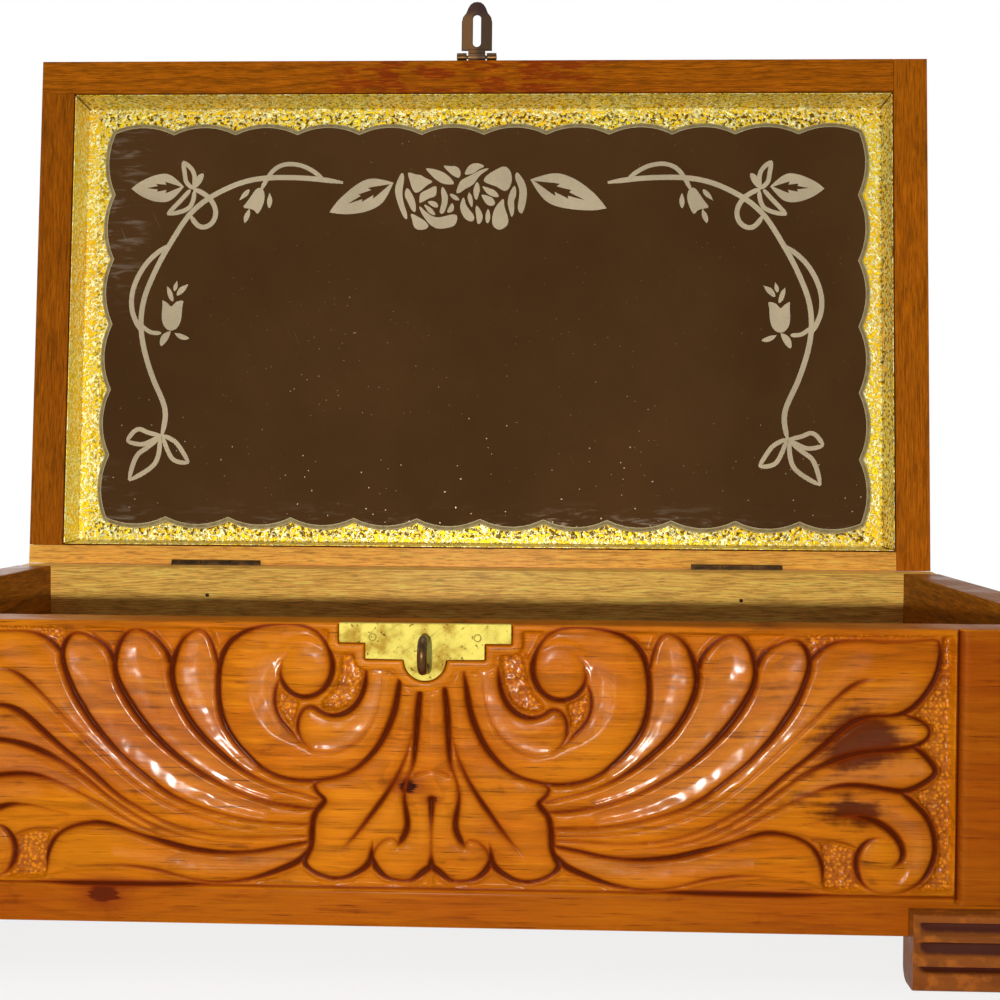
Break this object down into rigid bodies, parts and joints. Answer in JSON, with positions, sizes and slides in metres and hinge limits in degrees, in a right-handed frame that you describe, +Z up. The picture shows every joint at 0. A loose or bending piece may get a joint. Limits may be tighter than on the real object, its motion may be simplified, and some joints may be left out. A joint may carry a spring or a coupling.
{
  "type": "vanity box with mirror",
  "caption": "Low wooden vanity box with a carved front, reeded corner feet and a hinged lid that holds a scalloped, etched mirror in a foil-lined recess; hasp and staple.",
  "frame": {"origin": "bottom centre of the whole box with its lid open, on the surface it stands on", "axes": "+X along the box's width to the right, +Y from the carved front to the hinged back, +Z up"},
  "size_m": [0.3146, 0.218, 0.2711],
  "materials": {
    "carved_wood": "warm amber varnish, carved",
    "box_wood": "varnished, straight grain",
    "pale_wood": "thin clear varnish over pale wood",
    "lid_wood": "amber-brown varnish",
    "foot_wood": "brown varnish",
    "brass": "polished, lightly scratched",
    "bronze": "dark antiqued",
    "nail_steel": "dull",
    "gold_foil": "embossed gold foil on card",
    "card": "plain card",
    "mirror": "tinted mirror with a ground edge and etched ornament"
  },
  "bodies": {
    "box": {"front_board": "carved_wood", "back_board": "pale_wood", "left_board": "box_wood", "right_board": "box_wood", "bottom_board": "box_wood", "box_corner_nails": "nail_steel", "bottom_brads": "nail_steel", "foot_front_left": "foot_wood", "foot_front_left_return": "foot_wood", "foot_front_right": "foot_wood", "foot_front_right_return": "foot_wood", "foot_back_left": "foot_wood", "foot_back_left_return": "foot_wood", "foot_back_right": "foot_wood", "foot_back_right_return": "foot_wood", "lock_plate": "brass", "lock_plate_pins": "brass", "staple": "bronze", "hinge_left_box_leaf": "bronze", "hinge_right_box_leaf": "bronze", "hinge_left_pin": "bronze", "hinge_right_pin": "bronze", "hinge_box_tacks": "bronze"},
    "lid": {"lid_front_rail": "lid_wood", "lid_back_rail": "pale_wood", "lid_left_stile": "lid_wood", "lid_right_stile": "lid_wood", "lid_panel": "lid_wood", "lid_corner_nails": "nail_steel", "lid_panel_brads": "nail_steel", "foil_front": "gold_foil", "foil_back": "gold_foil", "foil_left": "gold_foil", "foil_right": "gold_foil", "mirror_backing": "card", "mirror": "mirror", "hinge_left_lid_leaf": "bronze", "hinge_right_lid_leaf": "bronze", "hinge_lid_tacks": "bronze", "hasp_plate": "bronze", "hasp_pin": "bronze", "hasp_tacks": "bronze"},
    "hasp": {"hasp_leaf": "bronze"}
  },
  "joints": [
    {"name": "lid_hinge", "type": "hinge", "parent": "box", "child": "lid", "pos_m": [0, 0.07409, 0.0766], "axis": [1, 0, 0], "range_deg": [0, 94.6]},
    {"name": "hasp_hinge", "type": "hinge", "parent": "lid", "child": "hasp", "pos_m": [-0.0012, 0.08975, 0.25191], "axis": [1, 0, 0], "range_deg": [-85, 90]}
  ]
}
